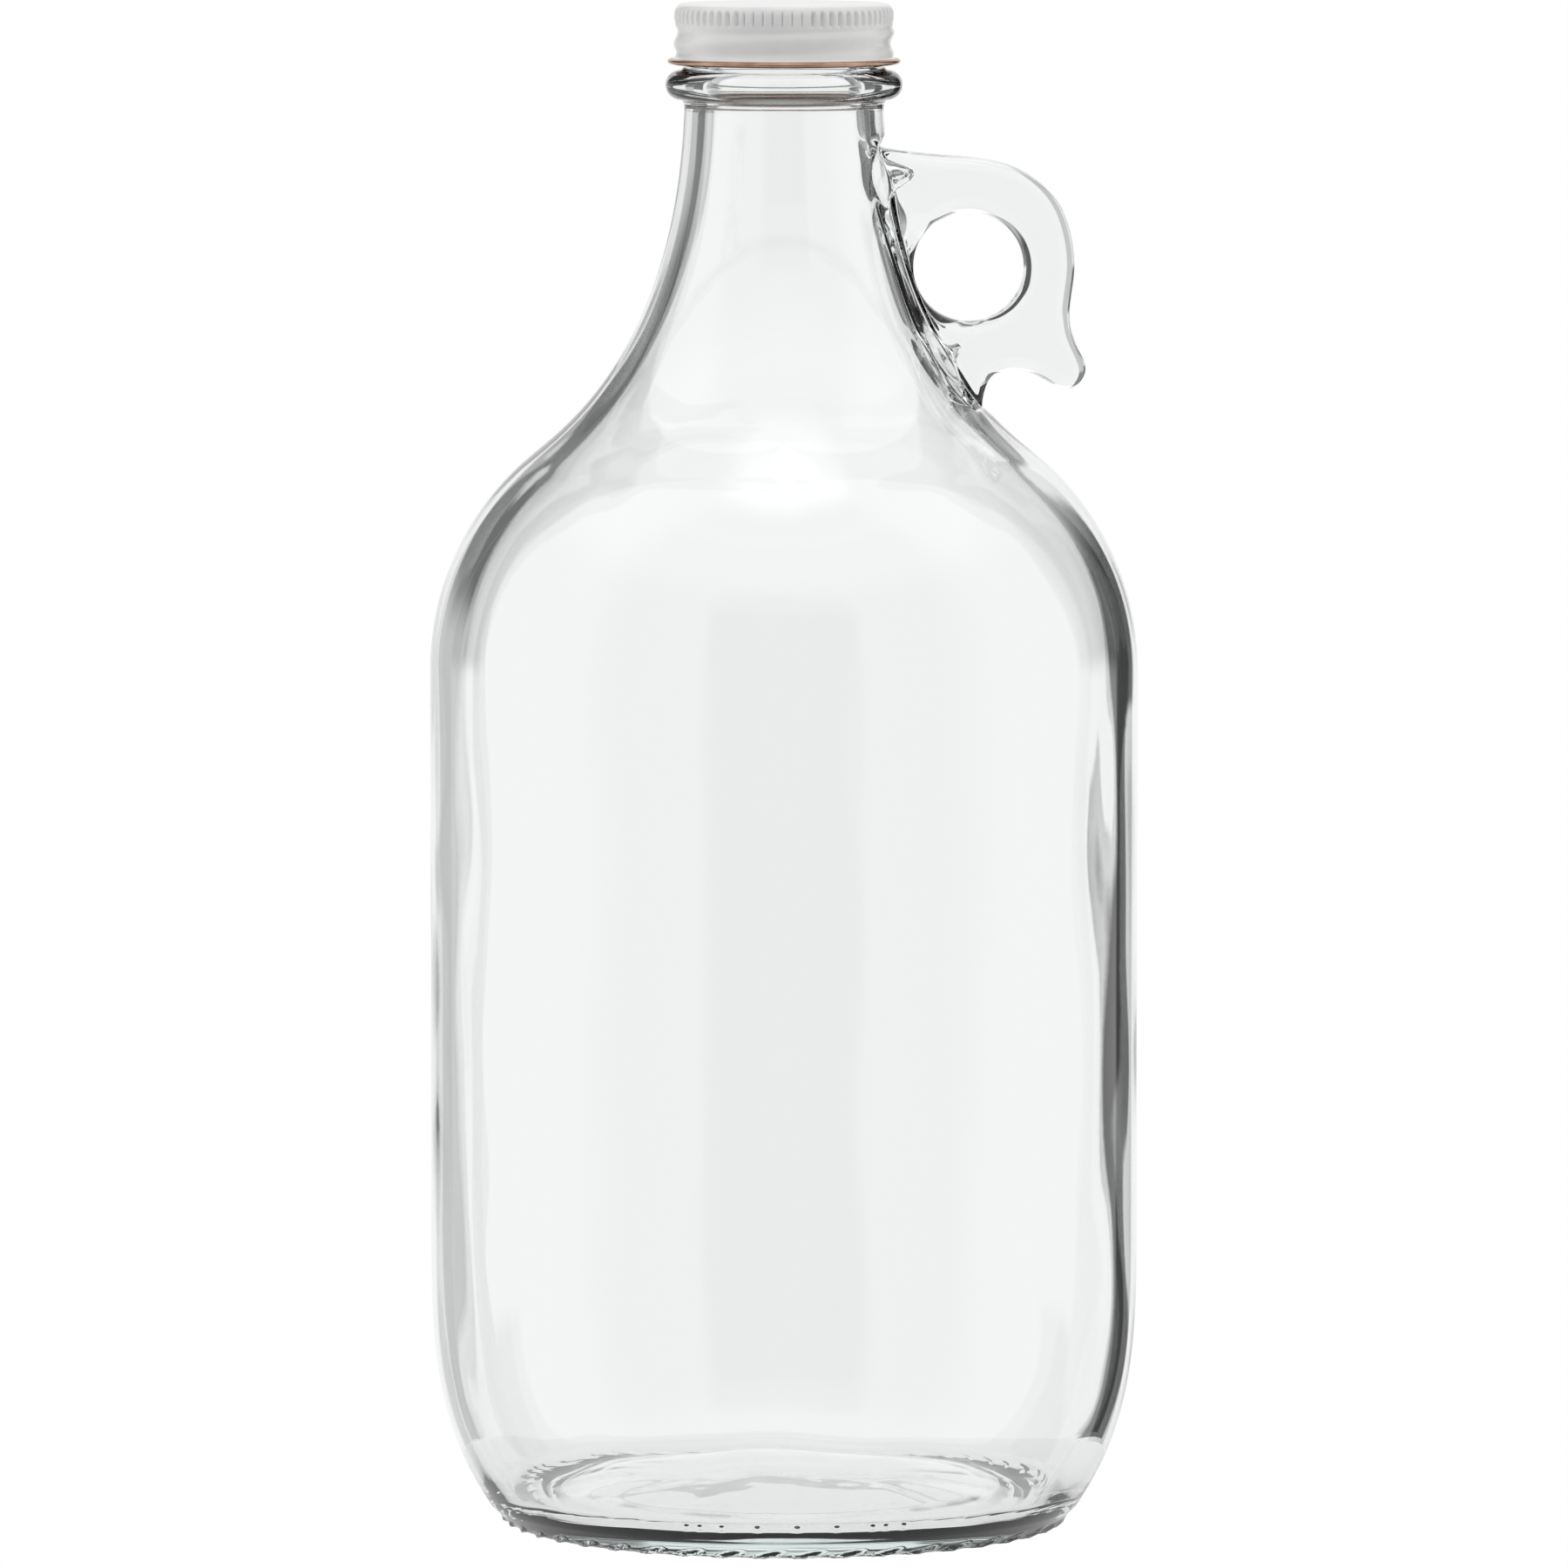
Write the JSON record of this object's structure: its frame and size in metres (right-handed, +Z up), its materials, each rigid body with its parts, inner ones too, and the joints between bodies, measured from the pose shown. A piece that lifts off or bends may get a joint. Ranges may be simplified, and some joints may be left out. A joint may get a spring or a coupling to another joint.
{
  "type": "glass jug with screw cap",
  "caption": "Clear glass jug with a round body, domed shoulder, narrow neck, moulded finger ring and a metal screw cap with a liner.",
  "frame": {"origin": "on the jug's axis, on the surface that it stands on", "axes": "+Z up along the jug's axis, +X towards the finger ring"},
  "size_m": [0.1248, 0.1248, 0.2688],
  "materials": {
    "flint_glass": "clear moulded soda-lime glass, fire polished",
    "liner_film": "smooth white polythene film",
    "pulp_board": "matt pressed pulp board",
    "enamelled_tinplate": "gloss white baked enamel outside, gold lacquer inside"
  },
  "bodies": {
    "jug": {"glass_jug": "flint_glass"},
    "liner": {"liner_facing": "liner_film", "liner_board": "pulp_board"},
    "cap": {"cap_shell": "enamelled_tinplate"}
  },
  "joints": [
    {"name": "cap_rise", "type": "slide", "parent": "jug", "child": "liner", "axis": [0, 0, 1], "range_m": [0, 0.01275]},
    {"name": "cap_unscrew", "type": "hinge", "parent": "liner", "child": "cap", "pos_m": [0, 0, 0.2628], "axis": [0, 0, 1], "range_deg": [0, 1080]}
  ],
  "couplings": [
    {"joint": "cap_rise", "follows": "cap_unscrew", "m_per_rad": 0.00067375}
  ]
}
